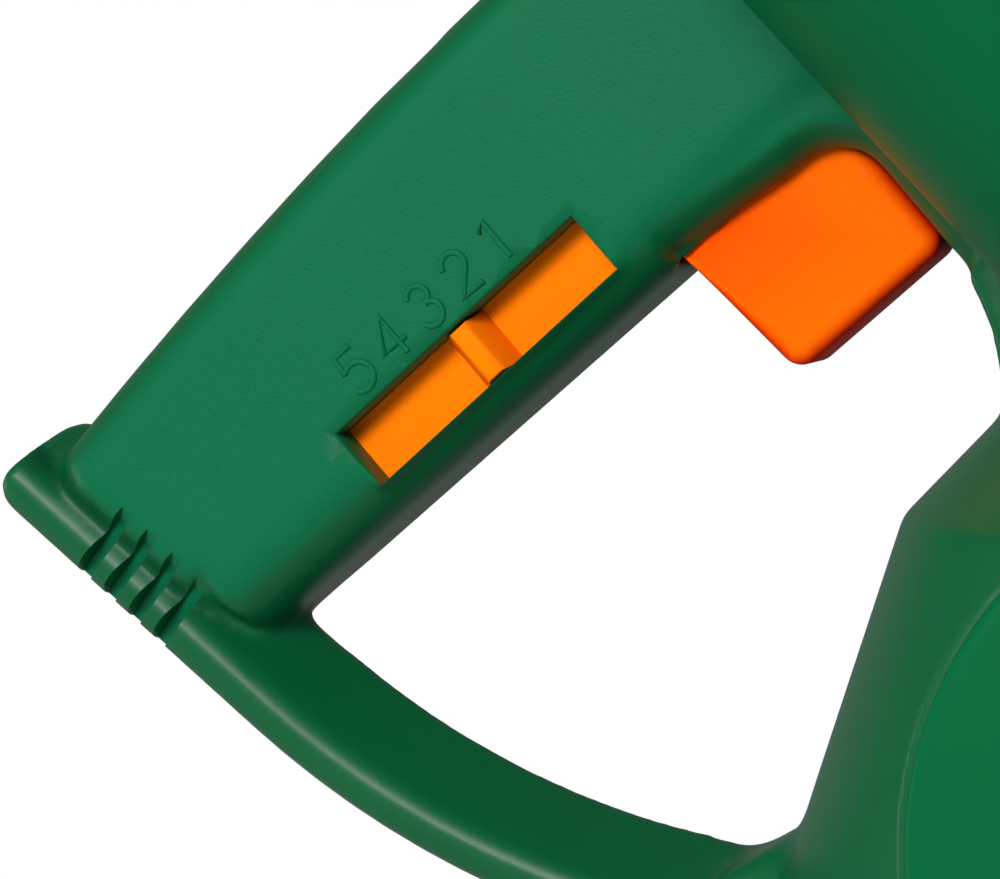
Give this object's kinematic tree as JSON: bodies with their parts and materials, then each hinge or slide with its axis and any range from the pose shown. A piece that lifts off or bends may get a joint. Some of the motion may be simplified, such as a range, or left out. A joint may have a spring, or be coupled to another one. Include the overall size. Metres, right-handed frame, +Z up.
{
  "type": "hand spreader",
  "caption": "Hand-cranked broadcast spreader with an open hopper, a D-shaped rear handle, a squeeze trigger, a rate slide and a geared spinner.",
  "frame": {"origin": "on the ground, in the middle of the part's box", "axes": "+X towards the throwing side, +Y to the left of someone holding the handle, +Z up"},
  "size_m": [0.2902, 0.2178, 0.268],
  "materials": {
    "green_plastic": "satin, finely grained",
    "hopper_plastic": "smooth",
    "orange_plastic": "satin",
    "inner_plastic": "matt",
    "nylon": "satin",
    "steel": "zinc plated"
  },
  "bodies": {
    "body": {"right_shell": "green_plastic", "left_shell": "green_plastic", "hopper": "hopper_plastic", "gear_cover": "green_plastic", "gear_floor": "inner_plastic", "drop_chute": "inner_plastic", "trigger_spring": "steel", "crank_bush": "nylon", "upper_bush": "nylon", "lower_bush": "nylon", "body_screws": "steel", "cover_screws": "steel", "floor_screws": "steel", "hopper_screws": "steel"},
    "crank": {"crank_arm": "green_plastic", "crank_shaft": "steel", "crank_gear": "nylon", "crank_screw": "steel", "knob_pin": "steel"},
    "knob": {"crank_knob": "orange_plastic"},
    "spinner": {"spinner_shaft": "steel", "pinion": "nylon", "spinner_plate": "green_plastic", "agitator": "steel", "shaft_clip": "steel"},
    "trigger": {"trigger": "orange_plastic", "gate_link": "steel"},
    "gate": {"flow_gate": "steel"},
    "slider": {"rate_slider": "orange_plastic"}
  },
  "joints": [
    {"name": "crank_turn", "type": "hinge", "parent": "body", "child": "crank", "pos_m": [0.04576, 0.02095, 0.088], "axis": [0, 1, 0], "continuous": true},
    {"name": "knob_spin", "type": "hinge", "parent": "crank", "child": "knob", "pos_m": [0.04576, -0.07905, 0.038], "axis": [0, 1, 0], "continuous": true},
    {"name": "spinner_turn", "type": "hinge", "parent": "body", "child": "spinner", "pos_m": [0.04576, 0.02095, 0.02], "axis": [0, 0, 1], "continuous": true},
    {"name": "trigger_pull", "type": "slide", "parent": "body", "child": "trigger", "axis": [-0.6561, 0, 0.7547], "range_m": [0, 0.014], "stiffness_N_per_m": 350, "springref_m": -0.01, "deforming": ["trigger_spring"]},
    {"name": "gate_slide", "type": "slide", "parent": "body", "child": "gate", "axis": [-1, 0, 0], "range_m": [0, 0.0092]},
    {"name": "rate_slide", "type": "slide", "parent": "body", "child": "slider", "axis": [0.7431, 0, 0.6691], "range_m": [-0.01354, 0.01354]}
  ],
  "couplings": [
    {"joint": "spinner_turn", "follows": "crank_turn", "ratio": -4},
    {"joint": "gate_slide", "follows": "trigger_pull", "ratio": 0.65606}
  ]
}
